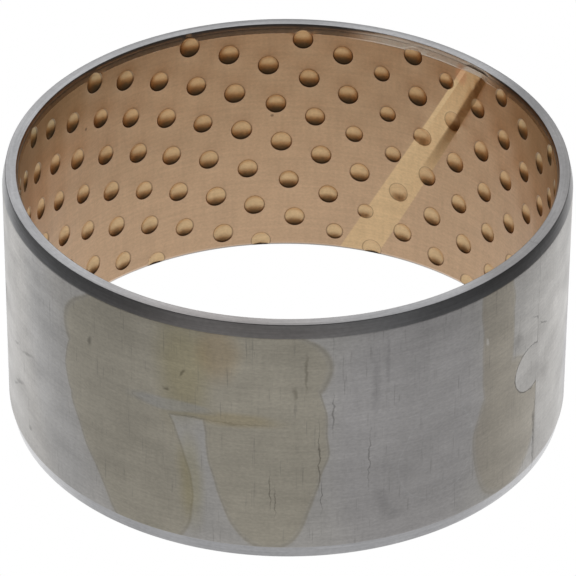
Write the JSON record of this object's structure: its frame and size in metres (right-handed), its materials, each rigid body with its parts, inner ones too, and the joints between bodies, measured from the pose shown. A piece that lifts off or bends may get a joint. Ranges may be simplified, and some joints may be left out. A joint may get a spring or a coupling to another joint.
{
  "type": "wrapped bimetal sleeve bushing",
  "caption": "Thin-walled steel-backed sleeve bushing with a bronze-lined bore, round grease indents, a slanted oil groove and a clinched butt seam.",
  "frame": {"origin": "centre of the lower end face, on the bore axis", "axes": "+Z along the bore axis towards the end with the longer inner chamfer; the butt seam is in the +X, -Y quadrant, 29.8 degrees before +X"},
  "size_m": [0.1048, 0.1048, 0.0508],
  "materials": {
    "steel": "ground and lightly oiled steel strip with faint stains",
    "bronze": "satin bored bronze lining"
  },
  "bodies": {
    "root": {"steel_backing": "steel", "bronze_lining": "bronze"}
  },
  "joints": []
}
